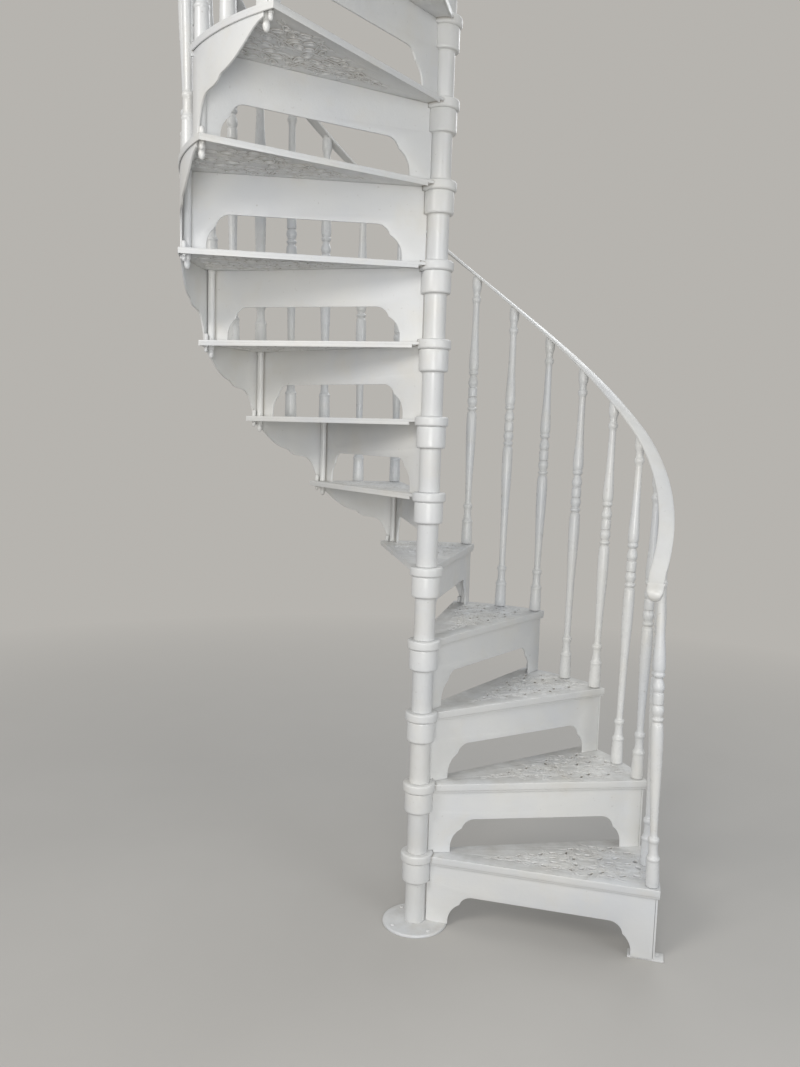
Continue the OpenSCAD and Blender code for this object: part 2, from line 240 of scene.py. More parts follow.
def plate(outline, holes, z0, z1, bevel=1.2, segments=1):
    """A flat casting with holes and rounded arrises, from loops in the xy plane."""
    curve = bpy.data.curves.new("outline", "CURVE")
    curve.dimensions = "2D"
    curve.fill_mode = "BOTH"
    curve.extrude = (z1 - z0) / 2 - bevel
    curve.bevel_depth = bevel
    curve.bevel_resolution = segments
    curve.offset = -bevel
    for number, loop in enumerate([outline] + holes):
        points = list(loop)
        if (area(points) > 0) != (number == 0):
            points.reverse()
        spline = curve.splines.new("POLY")
        spline.points.add(len(points) - 1)
        for point, (x, y) in zip(spline.points, points):
            point.co = (x, y, 0, 1)
        spline.use_cyclic_u = True
    holder = bpy.data.objects.new("outline", curve)
    bpy.context.scene.collection.objects.link(holder)
    bpy.context.view_layer.update()
    made = bpy.data.meshes.new_from_object(holder.evaluated_get(bpy.context.evaluated_depsgraph_get()))
    mid = (z0 + z1) / 2
    points = [(v.co.x, v.co.y, v.co.z + mid) for v in made.vertices]
    faces = [tuple(f.vertices) for f in made.polygons]
    bpy.data.meshes.remove(made)
    bpy.data.objects.remove(holder)
    bpy.data.curves.remove(curve)
    return points, faces


def bead(path, width, height, z, closed=False):
    """A raised half-round line laid along a path on a flat face."""
    n = len(path)
    rows = []
    for i, (x, y) in enumerate(path):
        a = path[(i - 1) % n] if closed or i else path[i]
        b = path[(i + 1) % n] if closed or i < n - 1 else path[i]
        run = Vector((b[0] - a[0], b[1] - a[1])).normalized()
        taper = 1.0 if closed else min(1.0, 0.25 + 0.75 * min(i, n - 1 - i) / 3)
        section = [(-0.5, -0.35), (-0.34, 0.6), (0, 1), (0.34, 0.6), (0.5, -0.35)]
        rows.append([(x - run.y * s * width * taper, y + run.x * s * width * taper,
                      z + h * height * taper) for s, h in section])
    return skin(rows, closed_ends=closed, caps=not closed)


def place(k):
    """The step's frame in the row frame, in metres."""
    turn = Matrix.Rotation(math.radians((k - 1) * STEP), 4, "Z")
    return turn @ Matrix.Translation((0, 0, k * RISE * 0.001)) @ Matrix.Scale(0.001, 4)


FLOOR_FRAME = Matrix.Scale(0.001, 4)


def piece(name, shape, matrix, material, nodes, sharp=38):
    """Makes the finished piece, which rides the root body and stands for its CAD nodes."""
    points, faces = moved(shape, matrix)
    mesh = bpy.data.meshes.new(name)
    mesh.from_pydata(points, [], faces)
    work = bmesh.new()
    work.from_mesh(mesh)
    bmesh.ops.remove_doubles(work, verts=work.verts[:], dist=2e-6)
    bmesh.ops.dissolve_degenerate(work, dist=1e-6, edges=work.edges[:])
    bmesh.ops.recalc_face_normals(work, faces=work.faces[:])
    work.to_mesh(mesh)
    work.free()
    mesh.validate()
    mesh.shade_smooth()
    mesh.set_sharp_from_angle(angle=math.radians(sharp))
    mesh.materials.append(material)
    thing = bpy.data.objects.new(name, mesh)
    bpy.context.scene.collection.objects.link(thing)
    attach(thing, "root")
    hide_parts(*nodes)
    return thing


# Paint


class Graph:
    """Short calls for laying out a material's nodes."""

    def __init__(self, name):
        self.material = bpy.data.materials.new(name)
        self.material.use_nodes = True
        self.tree = self.material.node_tree
        self.shader = self.tree.nodes["Principled BSDF"]
        self.coords = self.add("ShaderNodeTexCoord").outputs["Object"]

    def add(self, kind, **values):
        node = self.tree.nodes.new(kind)
        for key, value in values.items():
            setattr(node, key, value)
        return node

    def link(self, a, b):
        self.tree.links.new(a, b)

    def noise(self, scale, detail=3.0, roughness=0.55, stretch=None):
        node = self.add("ShaderNodeTexNoise")
        node.inputs["Scale"].default_value = scale
        node.inputs["Detail"].default_value = detail
        node.inputs["Roughness"].default_value = roughness
        source = self.coords
        if stretch:
            mapping = self.add("ShaderNodeMapping")
            mapping.inputs["Scale"].default_value = stretch
            self.link(self.coords, mapping.inputs["Vector"])
            source = mapping.outputs["Vector"]
        self.link(source, node.inputs["Vector"])
        return node.outputs["Fac"]

    def span(self, value, a, b, low, high):
        node = self.add("ShaderNodeMapRange")
        for key, number in (("From Min", a), ("From Max", b), ("To Min", low), ("To Max", high)):
            node.inputs[key].default_value = number
        self.link(value, node.inputs["Value"])
        return node.outputs["Result"]

    def math(self, kind, a, b):
        node = self.add("ShaderNodeMath", operation=kind)
        for socket, value in ((node.inputs[0], a), (node.inputs[1], b)):
            if isinstance(value, (int, float)):
                socket.default_value = value
            else:
                self.link(value, socket)
        return node.outputs[0]

    def blend(self, factor, a, b):
        node = self.add("ShaderNodeMix", data_type="RGBA")
        self.link(factor, node.inputs["Factor"])
        for socket, value in ((node.inputs[6], a), (node.inputs[7], b)):
            if isinstance(value, tuple):
                socket.default_value = value + (1,)
            else:
                self.link(value, socket)
        return node.outputs[2]

    def bump(self, height, distance, strength, normal=None):
        node = self.add("ShaderNodeBump")
        node.inputs["Distance"].default_value = distance
        node.inputs["Strength"].default_value = strength
        self.link(height, node.inputs["Height"])
        if normal:
            self.link(normal, node.inputs["Normal"])
        return node.outputs["Normal"]


WHITE = (0.765, 0.765, 0.745)
COOL = (0.700, 0.715, 0.730)
CREAM = (0.730, 0.705, 0.640)
# A dark tone for grime and dust, also used as painted shade in corners and crevices
GRIME_AND_SHADE = (0.330, 0.300, 0.255)
CORNER_REACH = 0.008  # metres


def paint(name, cast, dust, gloss, corner_shade):
    """Brushed gloss paint. cast: the iron's unevenness; dust: grime on top; the last weight: painted shade,
    darkening corners and crevices.
    """
    g = Graph(name)
    tone = g.blend(g.span(g.noise(3.1), 0.38, 0.66, 0, 1), WHITE, COOL)
    tone = g.blend(g.span(g.noise(9.0, 4), 0.52, 0.78, 0, 0.55), tone, CREAM)
    tone = g.blend(g.span(g.noise(95, 2), 0.70, 0.80, 0, 0.35), tone, GRIME_AND_SHADE)
    facing = g.add("ShaderNodeSeparateXYZ")
    g.link(g.add("ShaderNodeNewGeometry").outputs["Normal"], facing.inputs[0])
    upward = g.span(facing.outputs["Z"], 0.55, 0.95, 0, 1)
    patchy = g.span(g.noise(17, 5, 0.65), 0.40, 0.72, 0.0, dust)
    settled = g.math("MULTIPLY", upward, patchy)
    tone = g.blend(settled, tone, GRIME_AND_SHADE)
    # Painted shade: ambient occlusion darkens corners, creases and the openings' walls towards the dark
    # tone
    corner = g.add("ShaderNodeAmbientOcclusion", samples=6, only_local=True)
    corner.inputs["Distance"].default_value = CORNER_REACH
    tone = g.blend(g.span(corner.outputs["AO"], 0.50, 0.94, corner_shade, 0), tone, GRIME_AND_SHADE)
    g.link(tone, g.shader.inputs["Base Color"])
    rough = g.span(g.noise(26, 4), 0.3, 0.7, gloss - 0.06, gloss + 0.09)
    g.link(g.math("ADD", rough, g.math("MULTIPLY", settled, 0.5)), g.shader.inputs["Roughness"])
    g.shader.inputs["Coat Weight"].default_value = 0.15
    g.shader.inputs["Coat Roughness"].default_value = 0.18
    normal = g.bump(g.noise(42, 4, 0.6), 0.0011 * cast, 0.8)
    normal = g.bump(g.noise(330, 2), 0.00022, 0.6 + 0.3 * cast, normal)
    brushed = g.noise(120, 2, stretch=(1.0, 1.0, 0.12))
    normal = g.bump(brushed, 0.00018, 0.6, normal)
    g.link(normal, g.shader.inputs["Normal"])
    return g.material


# The last number of each paint sets how strongly painted shade darkens its corners
TREAD_PAINT = paint("tread_paint", 1.0, 0.34, 0.40, 0.85)
CASTING_PAINT = paint("casting_paint", 0.8, 0.30, 0.34, 0.35)
TURNED_PAINT = paint("turned_paint", 0.45, 0.35, 0.28, 0.35)
RAIL_PAINT = paint("rail_paint", 0.3, 0.16, 0.34, 0.2)


# Pierced foliage

# Openings: distance from the pole, degrees from the middle line, turn, length, radius, end radius
MIDDLE_HOLES = [(230, 0, 180, 8, 5.4, 2.6), (268, 0, 0, 9, 3.6, 2), (318, 0, 180, 13, 4.6, 2.2),
                (425, 0, 0, 15, 5.2, 2.4), (558, 0, 180, 15, 6, 2.6), (612, 0, 0, 11, 4.4, 2.6)]
PAIRED_HOLES = [(298, 3.4, 28, 10, 4, 2.2), (340, 4.3, -24, 9, 4.8, 3), (368, 6, 42, 10, 5.4, 2.6),
                (400, 2.1, 12, 15, 4.8, 2.2), (404, 6.6, -16, 14, 4.4, 2.2), (446, 7, 64, 9, 4.6, 3),
                (460, 2.5, 82, 10, 6.6, 3.6), (477, 5.2, -34, 9, 5.2, 3.4), (506, 4.8, 16, 10, 6.6, 3.8),
                (500, 8.3, -52, 13, 4.4, 2.4), (531, 6.4, -42, 14, 4.8, 2.4), (538, 2.8, 36, 14, 5, 2.4),
                (556, 8.6, 22, 13, 5, 2.6), (590, 7.4, -28, 14, 5.2, 2.6), (586, 3.3, 22, 15, 5.6, 2.6),
                (628, 6.6, 6, 14, 5, 4), (638, 1.9, 74, 8, 7.4, 4.6)]
REAR_HOLES = [(466, 10, 20, 12, 4.4, 2.4), (534, 10.8, -20, 12, 5, 2.6), (588, 10, 24, 12, 4.8, 2.6)]


def turned_loop(loop, degrees):
    c = math.cos(math.radians(degrees))
    s = math.sin(math.radians(degrees))
    return [(c * x - s * y, s * x + c * y) for x, y in loop]


def hole_places(rear):
    """Every hole as a side and its numbers."""
    places = [(1, hole) for hole in MIDDLE_HOLES]
    places += [(side, hole) for hole in PAIRED_HOLES for side in (1, -1)]
    return places + ([(1, hole) for hole in REAR_HOLES] if rear else [])


def laid(loop, side, hole, degrees):
    """Carries a loop drawn along a hole's own axis to its place in the pattern."""
    points = turned_loop([(x, side * y) for x, y in loop], side * hole[2])
    return turned_loop([(hole[0] + x, y) for x, y in points], side * hole[1] + degrees)


def drop_loop(length, r, end_r, sides=10):
    """A drop about its own middle, its larger end on the left."""
    f = math.degrees(math.acos((r - end_r) / length))
    return arc(r, sides, -length / 2, 0, f, 360 - f) + arc(end_r, sides // 2, length / 2, 0, -f, f)


def piercing(degrees, rear):
    return [laid(drop_loop(*hole[3:]), side, hole, degrees) for side, hole in hole_places(rear)]


LEAF_SECTION = [(-0.5, -0.4), (-0.27, 0.55), (0, 1), (0.27, 0.55), (0.5, -0.4)]


def leaf(spine, width, height, z):
    """A pointed leaf with a raised vein, laid along a spine on a flat face."""
    rows = []
    last = len(spine) - 1
    for i, (x, y) in enumerate(spine):
        a = spine[max(i - 1, 0)]
        b = spine[min(i + 1, last)]
        run = Vector((b[0] - a[0], b[1] - a[1])).normalized()
        share = max(0.08, math.sin(math.pi * (0.06 + 0.90 * i / last)) ** 0.75)
        rows.append([(x - run.y * u * width * share, y + run.x * u * width * share,
                      z + v * height * (0.35 + 0.65 * share)) for u, v in LEAF_SECTION])
    return skin(rows, closed_rows=False)


# A side stem's way between the openings, from the pole out
STEM = [(240, 5), (270, 11), (297, 8.5), (318, 12), (339, 15), (366, 23), (385, 29), (402, 30), (422, 32),
        (442, 36), (460, 35), (476, 32), (492, 30), (506, 31), (521, 36), (538, 41), (556, 47), (572, 52),
        (588, 54), (606, 54), (626, 51), (646, 47)]


def flowing(points):
    """A smooth line through the points, with one more between each two."""
    line = []
    for i in range(len(points) - 1):
        p = [Vector(points[min(max(k, 0), len(points) - 1)]) for k in (i - 1, i, i + 1, i + 2)]
        for t in (0, 0.5):
            line.append(0.5 * (2 * p[1] + (p[2] - p[0]) * t
                               + (2 * p[0] - 5 * p[1] + 4 * p[2] - p[3]) * t * t
                               + (3 * p[1] - p[0] - 3 * p[2] + p[3]) * t ** 3))
    return [tuple(q) for q in line] + [points[-1]]


def clearance(point, side, hole):
    """How far a point of the pattern lies from a hole's edge."""
    length, r, end_r = hole[3:]
    ends = laid([(-length / 2, 0), (length / 2, 0)], side, hole, 0)
    a, b = Vector(ends[0]), Vector(ends[1])
    share = min(1, max(0, (Vector(point) - a).dot(b - a) / length ** 2))
    return (Vector(point) - a.lerp(b, share)).length - r - (end_r - r) * share


def branch(tail, axis, stem):
    """A curved strand from a hole's narrow end into the stem."""
    aim = tail + axis * 16
    i = min(range(1, len(stem) - 1), key=lambda k: (Vector(stem[k]) - aim).length)
    foot = Vector(stem[i])
    run = (Vector(stem[i + 1]) - Vector(stem[i - 1])).normalized()
    if run.dot(foot - tail) < 0:
        run = -run
    reach = 0.42 * (foot - tail).length
    p = (tail - axis * 1.5, tail + axis * reach, foot - run * reach, foot)
    line = []
    for j in range(7):
        t = j / 6
        u = 1 - t
        line.append(tuple(p[0] * u ** 3 + p[1] * 3 * t * u * u + p[2] * 3 * t * t * u + p[3] * t ** 3))
    return line


LEAF_STEP = 5.8
LEAF_CLEAR = 6.2
STRAND_CLEAR = 1.6


def sprig(root, heading, curl, places):
    """A curling leaf's spine, ended before it meets an opening."""
    spine = [root]
    for i in range(7):
        turn = heading + curl * i
        x, y = spine[-1]
        spine.append((x + LEAF_STEP * math.cos(turn), y + LEAF_STEP * math.sin(turn)))
        if i > 0 and min(clearance(spine[-1], *p) for p in places) < LEAF_CLEAR:
            return spine[:-1]
    return spine


def scroll_lines(rear):
    """The pattern's lines on its own middle line: rings, strands and leaves."""
    places = hole_places(rear)
    rings = []
    strands = []
    leaves = []
    stems = {side: flowing([(x, side * y) for x, y in STEM]) for side in (1, -1)}
    for side, hole in places:
        length, r, end_r = hole[3:]
        rings.append(laid(drop_loop(length + 1.4, r + 3.1, end_r + 2.9, 8), side, hole, 0))
        tail, past = [Vector(p) for p in laid([(length / 2 + end_r + 3, 0), (length / 2 + end_r + 4, 0)],
                                              side, hole, 0)]
        for hand in ((1, -1) if hole[1] == 0 else (side,)):
            line = branch(tail, past - tail, stems[hand])
            others = [p for p in places if p != (side, hole)]
            if min(clearance(q, *p) for q in line for p in others) > STRAND_CLEAR:
                strands.append(line)
        outward = math.atan2(past.y - tail.y, past.x - tail.x)
        head = laid([(-length / 2 - r - 3, 0)], side, hole, 0)[0]
        for root, heading, spread in ((tuple(tail), outward, 0.62), (head, outward + math.pi, 0.95)):
            for hand in (1, -1):
                spine = sprig(root, heading + hand * spread, -hand * 0.22, places)
                if len(spine) > 2:
                    leaves.append(spine[:6])
    for side, stem in stems.items():
        strands.append(stem)
        for k in range(3, len(stem) - 3, 3):
            run = Vector(stem[k + 1]) - Vector(stem[k - 1])
            along = math.atan2(run.y, run.x)
            for hand in (1, -1):
                spine = sprig(stem[k], along + hand * 0.75, -hand * 0.17, places)
                if len(spine) > 3:
                    leaves.append(spine)
    return rings, strands, leaves


# Width and height of the raised lines, on the face and on the underside
RING_FACE = (4.4, 1.0)
RING_BACK = (5.4, -2.6)
STRAND_FACE = (4.2, 1.4)
STRAND_BACK = (5.8, -3.0)
LEAF_UP = 1.5
LEAF_DOWN = -2.6


def relief(degrees, rear):
    """Scroll-work on the face, and its plainer back on the underside."""
    rings, strands, leaves = scroll_lines(rear)
    shapes = []
    for line in rings:
        loop = turned_loop(line, degrees)
        shapes.append(bead(loop, *RING_FACE, 0, closed=True))
        shapes.append(bead(loop, *RING_BACK, -PLATE_T, closed=True))
    for line in strands:
        loop = turned_loop(line, degrees)
        shapes.append(bead(loop, *STRAND_FACE, 0))
        shapes.append(bead(loop, *STRAND_BACK, -PLATE_T))
    for line in leaves:
        spine = turned_loop(line, degrees)
        width = 5.6 + 0.65 * len(line)
        shapes.append(leaf(spine, width, LEAF_UP, 0))
        if len(line) > 4:
            shapes.append(leaf(spine, width + 1, LEAF_DOWN, -PLATE_T))
    return joined(*shapes)


# Treads


def lap_at(r):
    """The tread's width behind the next riser's line."""
    return HUB_LAP + (REAR_LAP - HUB_LAP) * r / TREAD_R


def rear_point(x, inset):
    """A point on the tread's rear edge, x out along the next riser, drawn in by inset."""
    c = math.cos(math.radians(STEP))
    s = math.sin(math.radians(STEP))
    lap = lap_at(x) - inset
    return (x * c - lap * s, x * s + lap * c)


def rear_corner_x(r, inset):
    """How far out along the next riser the rear edge meets the circle of radius r."""
    x = r
    for _ in range(8):
        x = math.sqrt(r * r - (lap_at(x) - inset) ** 2)
    return x


FRONT_CORNER_A = -math.degrees(math.asin(NOSING / TREAD_R))
REAR_CORNER = rear_point(rear_corner_x(TREAD_R, 0), 0)
REAR_CORNER_A = math.degrees(math.atan2(REAR_CORNER[1], REAR_CORNER[0]))


def tread_outline():
    outer_edge = arc(TREAD_R, 40, start=FRONT_CORNER_A, end=REAR_CORNER_A)
    return [(0, -NOSING)] + outer_edge + [rear_point(0, 0)]


def eye():
    """The thick ring round the pole."""
    profile = [(BORE_R, -EYE_DOWN), (EYE_R - 4, -EYE_DOWN), (EYE_R, -EYE_DOWN + 4), (EYE_R, -3),
               (EYE_R, 3.5), (EYE_R - 1.6, 6.4), (EYE_R - 4.5, EYE_UP), (BORE_R, EYE_UP)]
    return lathe(softened(profile, 1.6, loop=True), 40, loop=True)


# The front edge's outline: how far ahead of the riser's line, and height
NOSE = [(0, -1.4), (-9.96, -1.4), (-9.96, -18.3), (-9.5, -19.7), (-8.3, -20.3), (-7.4, -20.8),
        (-7.1, -21.7), (-7.1, -25.2), (-6.5, -26.5), (-5.2, -LIP_H), (0, -LIP_H)]


def rear_rim():
    back, front = [[rear_point(x, inset) for x in (55, rear_corner_x(TREAD_R, inset) - 0.5)]
                   for inset in (INSIDE, RIM_T)]
    around = back + front[::-1]
    rows = [[(x, y, z) for x, y in around] for z in (-RIM_H, -PLATE_T + 1)]
    return bevelled(skin(rows, caps=True), 0.8)


def tread():
    nose_end = math.sqrt(TREAD_R ** 2 - NOSING ** 2) - 2 * INSIDE
    rim = [(TREAD_R - RIM_T, -PLATE_T + 1), (TREAD_R - RIM_T, -RIM_H + 1), (TREAD_R - RIM_T + 1, -RIM_H),
           (TREAD_R - 1, -RIM_H), (TREAD_R - INSIDE, -RIM_H + 1), (TREAD_R - INSIDE, -PLATE_T + 1)]
    return joined(
        plate(tread_outline(), piercing(PATTERN_A, True), -PLATE_T, 0),
        relief(PATTERN_A, True),
        bar(NOSE, COLLAR_R + 1, nose_end),
        arc_bar(rim, FRONT_CORNER_A, REAR_CORNER_A, 40),
        rear_rim(),
        eye(),
    )


tread_shape = tread()
for k in STEPS:
    piece(f"tread_casting_{k:02d}", tread_shape, place(k), TREAD_PAINT, [f"tread_{k:02d}"])


# Risers


def crossing(c1, r1, c2, r2, left):
    """Where two circles meet, on the left or the right of the line from the first to the second."""
    a = Vector(c1)
    run = Vector(c2) - a
    d = run.length
    along = (d * d + r1 * r1 - r2 * r2) / (2 * d)
    off = math.sqrt(r1 * r1 - along * along)
    side = Vector((-run.y, run.x)).normalized() * (1 if left else -1)
    return a + run.normalized() * along + side * off


def angle_to(centre, point):
    return math.degrees(math.atan2(point[1] - centre[1], point[0] - centre[0]))


def arch(foot):
    """The cusped arch from its outer foot over to its inner foot."""
    out = RISER_R - ARCH_POST
    x1 = out - FOOT_LOBE
    x0 = ARCH_IN + FOOT_LOBE
    foot_lobe = (x1, FOOT_UP)
    shoulder = (x1, SHOULDER_UP)
    cusp = crossing(foot_lobe, FOOT_LOBE, shoulder, SHOULDER_LOBE, False)
    points = [(out, 0), (out, 12)]
    points += arc(FOOT_LOBE, 10, *foot_lobe, 3, angle_to(foot_lobe, cusp))
    points += arc(SHOULDER_LOBE, 12, *shoulder, angle_to(shoulder, cusp), 90)[1:]
    foot_lobe = (x0, FOOT_UP)
    shoulder = (x0 + SHOULDER_IN, SHOULDER_UP)
    cusp = crossing(foot_lobe, FOOT_LOBE, shoulder, SHOULDER_LOBE, True)
    points += arc(SHOULDER_LOBE, 12, *shoulder, 90, angle_to(shoulder, cusp))
    points += arc(FOOT_LOBE, 10, *foot_lobe, angle_to(foot_lobe, cusp), 177)[1:]
    return points + [(ARCH_IN, 12), (ARCH_IN, foot)]


def riser(foot):
    """The panel from foot up, with the round post that takes the baluster's bolt."""
    h = RISE - PLATE_T
    head = RISE - EYE_DOWN
    outline = [(EYE_R + 0.5, foot), (EYE_R + 0.5, EYE_UP + 0.5), (SLEEVE_R + 3, EYE_UP + 0.5),
               (SLEEVE_R + 3, head - COLLAR_H - 2), (COLLAR_R + 0.3, head - COLLAR_H),
               (COLLAR_R + 0.3, head - 0.4), (EYE_R + 0.3, head - 0.4), (EYE_R + 0.3, h),
               (RISER_R, h), (RISER_R, 0)]
    panel = plate(outline + arch(foot), [], -PANEL_T, 0, 1.3, 2)
    panel = moved(panel, Matrix.Rotation(math.radians(90), 4, "X"))
    boss = [(0, 0), (BOSS_R, 0), (BOSS_R, 5), (BOSS_R - 1.4, 7), (BOSS_R - 1.4, h - 9),
            (BOSS_R, h - 7), (BOSS_R, h), (0, h)]
    post = turned_by(shifted(lathe(softened(boss, 1.2), 28), BALUSTER_R, 0, 0), FRONT_A)
    return joined(panel, post)


riser_shape = shifted(riser(0), 0, 0, -RISE)
for k in range(2, N_STEPS + 2):
    piece(f"riser_casting_{k:02d}", riser_shape, place(k), CASTING_PAINT, [f"riser_{k:02d}"])


def screw_head(r, h):
    """A domed head, its slot filled by paint."""
    dome = [(0, -2), (r, -2), (r, 0.2 * h), (0.86 * r, 0.62 * h), (0.55 * r, 0.92 * h), (0, h)]
    return lathe(softened(dome, 0.5), 24)


def foot_flange():
    """The lowest riser's foot on the floor, with its two screws."""
    inner = RISER_R - FLANGE_IN
    outer = RISER_R + FLANGE_OUT
    flange = bevelled(box(inner, outer, 0, FLANGE_W, 0, FLANGE_T), 1.4)
    screws = [shifted(screw_head(6, 2.6), x, FLANGE_W - 10, FLANGE_T) for x in (inner + 22, outer - 18)]
    return joined(flange, *screws)


piece("riser_casting_01", joined(riser(BASE_T), foot_flange()), FLOOR_FRAME, CASTING_PAINT, ["riser_01"])


# Outer wings

# The cusped lower edge as shares of the wing's run and height
WING_EDGE = [(0, 0), (0.112, 0), (0.114, 0.03), (0.122, 0.10), (0.138, 0.17), (0.160, 0.24),
             (0.186, 0.305), (0.216, 0.355), (0.252, 0.39), (0.292, 0.408), (0.336, 0.416),
             (0.388, 0.425), (0.432, 0.442), (0.466, 0.468), (0.492, 0.505), (0.512, 0.520),
             (0.552, 0.535), (0.610, 0.562), (0.672, 0.603), (0.735, 0.660), (0.795, 0.722),
             (0.850, 0.788), (0.900, 0.848), (0.950, 0.893), (1, 0.920)]
LUG_AT = WING_R0 + 1.5 - CLIP_R
LUG_A = math.degrees(CLIP_S / WING_R0)


def wing(floor_z):
    """A cusped wing with the lug at its foot, from floor_z up."""
    h = RISE - PLATE_T
    run = WING_R1 * math.radians(STEP) + WING_END
    rows = []
    for s, z in WING_EDGE:
        a = max(s * run, 0.4) / WING_R1
        low = max(z * h, floor_z)
        ends = [(WING_R0, low), (WING_R1, low), (WING_R1, h), (WING_R0, h)]
        rows.append([(r * math.cos(a), r * math.sin(a), v) for r, v in ends])
    outline = [(0, floor_z), (CLIP_R, floor_z), (CLIP_R, 17), (CLIP_R - 2, 20), (0, 20)]
    lug = turned_by(shifted(lathe(softened(outline, 1), 24), LUG_AT, 0, 0), LUG_A)
    return joined(bevelled(skin(rows, caps=True), 1.1), lug)


first_wing = moved(shifted(wing(FLANGE_T), 0, 0, -RISE), place(1))
other_wing = shifted(wing(0), 0, 0, -RISE)
wings = [first_wing] + [moved(other_wing, place(k)) for k in STEPS[1:]]
piece("wing_castings", joined(*wings), Matrix.Identity(4), CASTING_PAINT, ["outer_wings"])


# Corner nuts


def hexagon(r, z0, z1):
    """A six-sided bar along z, its corners at radius r."""
    corners = arc(r, 6)[:-1]
    return skin([[(x, y, z) for x, y in corners] for z in (z0, z1)], caps=True)


def nut(r, length):
    """A hexagon nut under a tread, with a domed tail."""
    top = -PLATE_T
    split = top - 0.42 * length
    body = bevelled(hexagon(1.02 * r, split, top), 0.6)
    tail = [(0, top - length), (0.34 * r, top - 0.985 * length), (0.63 * r, top - 0.90 * length),
            (0.84 * r, top - 0.76 * length), (0.88 * r, top - 0.64 * length),
            (0.74 * r, top - 0.5 * length), (0.80 * r, split + 1), (0, split + 1)]
    return joined(body, lathe(softened(tail, 2), 20))


nuts = []
for k in STEPS:
    nuts.append(moved(turned_by(shifted(nut(*LONG_NUT), BALUSTER_R, 0, 0), STEP + FRONT_A), place(k)))
    if k < N_STEPS:
        nuts.append(moved(turned_by(shifted(nut(*SHORT_NUT), LUG_AT, 0, 0), STEP + LUG_A), place(k)))
piece("corner_nut_set", joined(*nuts), Matrix.Identity(4), TURNED_PAINT, ["corner_nuts"])


# Balusters


def path_r(a):
    """The rail's distance from the pole, drawn in over the first steps."""
    share = min(1, max(0, (DRAW_FROM - a) / (DRAW_FROM - DRAW_TO)))
    return RAIL_PATH - DRAW_IN * share ** 1.4


def pitch(a):
    return math.atan(math.degrees(SLOPE) / path_r(a))


def baluster(n, h, lean=0.0, climb=0.0):
    """A turned baluster of height h, its knuckle at height n, leaning out and cut to the rail's climb."""
    profile = [
        (0, 0), (19, 0), (18.6, 30), (17.2, 70), (17.2, 74), (18.6, 77), (18.6, 82), (16, 85),
        (13.4, 92), (12.2, 110), (13, 124), (15.6, 129), (16.2, 134), (15, 139), (10.8, 142),
        (10.2, 150), (12.4, n - 225), (16.2, n - 130), (17.4, n - 80), (17.6, n - 35), (16, n - 10),
        (11.2, n - 4), (14.6, n), (16.6, n + 3), (16.6, n + 7), (11.4, n + 11), (13.2, n + 16),
        (16.4, n + 24), (17.2, n + 32), (15.2, n + 40), (12, n + 45), (15.4, n + 47), (15.4, n + 76),
        (12, n + 79), (15, n + 85), (17, n + 92), (15, n + 104), (11, n + 114), (10.4, n + 118),
        (14.6, n + 122), (16.4, n + 126), (16.4, n + 130), (13.6, n + 134), (16.6, n + 142),
        (17.2, n + 160), (15.8, n + 190), (13.2, n + 228), (11.6, n + 280), (10.6, h - 90),
        (14.8, h - 81), (15.5, h - 76), (14.8, h - 71), (11, h - 66), (11.2, h - 52), (15, h - 41),
        (16.4, h - 33), (16.4, h), (0, h)]
    points, faces = lathe(softened(profile, 6), 20)
    placed = []
    for x, y, z in points:
        rise_here = math.tan(climb) * y if z > h - 1 else 0
        placed.append((x + z * math.tan(lean), y, z + rise_here))
    return placed, faces


def rail_height(a):
    """The rail's middle above the step that a belongs to."""
    return RAIL_Z0 - RISE + SLOPE * a


def baluster_set(steps, angle, knuckle):
    """One baluster on each step, at an angle behind its riser's line."""
    shapes = []
    height = rail_height(angle)
    for k in steps:
        a = (k - 1) * STEP + angle
        lean = math.atan((path_r(a) - BALUSTER_R) / height)
        shape = baluster(knuckle, height - RAIL_EDGE / 2 / math.cos(pitch(a)) + SEAT, lean, pitch(a))
        shapes.append(moved(turned_by(shifted(shape, BALUSTER_R, 0, 0), angle), place(k)))
    return joined(*shapes)


front = baluster_set(range(1, N_STEPS + 2), FRONT_A, KNUCKLE_FRONT)
piece("front_baluster_set", front, Matrix.Identity(4), TURNED_PAINT, ["front_balusters"])
middle = baluster_set(STEPS, MID_A, KNUCKLE_MID)
piece("middle_baluster_set", middle, Matrix.Identity(4), TURNED_PAINT, ["middle_balusters"])


# Handrail


def rail_section(share=1.0, crown=RAIL_CROWN, belly=0.0, drop=0.0):
    """The flat bar with its crowned top; the belly swells the rolled end."""
    half = RAIL_W / 2 * share
    edge = RAIL_EDGE / 2
    top = [(half * math.cos(math.radians(t)), edge - drop + crown * math.sin(math.radians(t)))
           for t in range(0, 181, 15)]
    under = [(1, 1.3), (0.985, 0.4), (0.94, 0.05), (0.80, 0), (0.58, 0), (0.30, 0), (0, 0)]
    under += [(-part, lift) for part, lift in under[-2::-1]]
    low = [(-half * part, -edge - drop + lift - belly * math.sqrt(1 - part * part)) for part, lift in under]
    return top + low


def rail_ring(a, section):
    """A section carried to angle a on the rail's path, square to its climb."""
    t = math.radians(a)
    climb = pitch(a)
    ring = []
    for u, v in section:
        r = path_r(a) + u
        ring.append((r * math.cos(t) + v * math.sin(climb) * math.sin(t),
                     r * math.sin(t) - v * math.sin(climb) * math.cos(t),
                     RAIL_Z0 + SLOPE * a + v * math.cos(climb)))
    return ring


